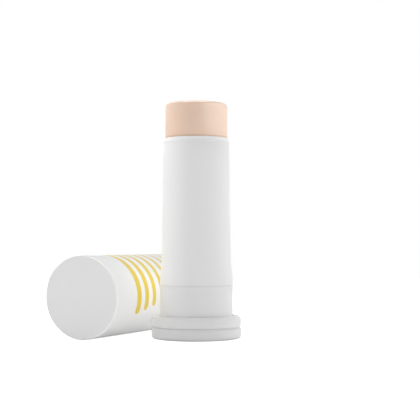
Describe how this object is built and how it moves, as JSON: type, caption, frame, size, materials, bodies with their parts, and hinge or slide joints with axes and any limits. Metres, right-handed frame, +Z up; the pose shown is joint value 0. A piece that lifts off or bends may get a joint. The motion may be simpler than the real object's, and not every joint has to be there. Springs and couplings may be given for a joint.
{
  "type": "sunscreen stick",
  "caption": "Round twist-up stick with a raised bar of product, a fixed collar over a turn knob, and its cap taken off and lying beside it.",
  "frame": {"origin": "centre of the stick's foot, on the surface it stands on", "axes": "+Z up along the stick's axis, the cap lies along Y at -X with its closed end towards -Y"},
  "size_m": [0.0592, 0.0678, 0.0784],
  "materials": {
    "white_shell": "satin",
    "white_insert": "satin",
    "pale_acetal": "satin",
    "dark_rubber": "matte",
    "peach_balm": "matte"
  },
  "bodies": {
    "tube": {"barrel": "white_shell", "shoulder_collar": "white_shell", "brake_ring": "dark_rubber"},
    "knob": {"turn_knob": "white_shell", "base_plug": "white_shell", "spindle": "pale_acetal"},
    "lift": {"elevator": "white_insert", "sunscreen_bar": "peach_balm"},
    "cap": {"cap_shell": "white_shell", "cap_liner": "white_insert"}
  },
  "joints": [
    {"name": "knob_twist", "type": "hinge", "parent": "tube", "child": "knob", "pos_m": [0, 0, 0], "axis": [0, 0, 1], "range_deg": [-1261, 2521]},
    {"name": "elevator_slide", "type": "slide", "parent": "tube", "child": "lift", "axis": [0, 0, 1], "range_m": [-0.014, 0.028]},
    {"name": "cap_slide", "type": "slide", "parent": "tube", "child": "cap", "axis": [0, -1, 0], "range_m": [0, 0.0605]}
  ],
  "couplings": [
    {"joint": "knob_twist", "follows": "elevator_slide", "rad_per_m": 1570.8}
  ]
}
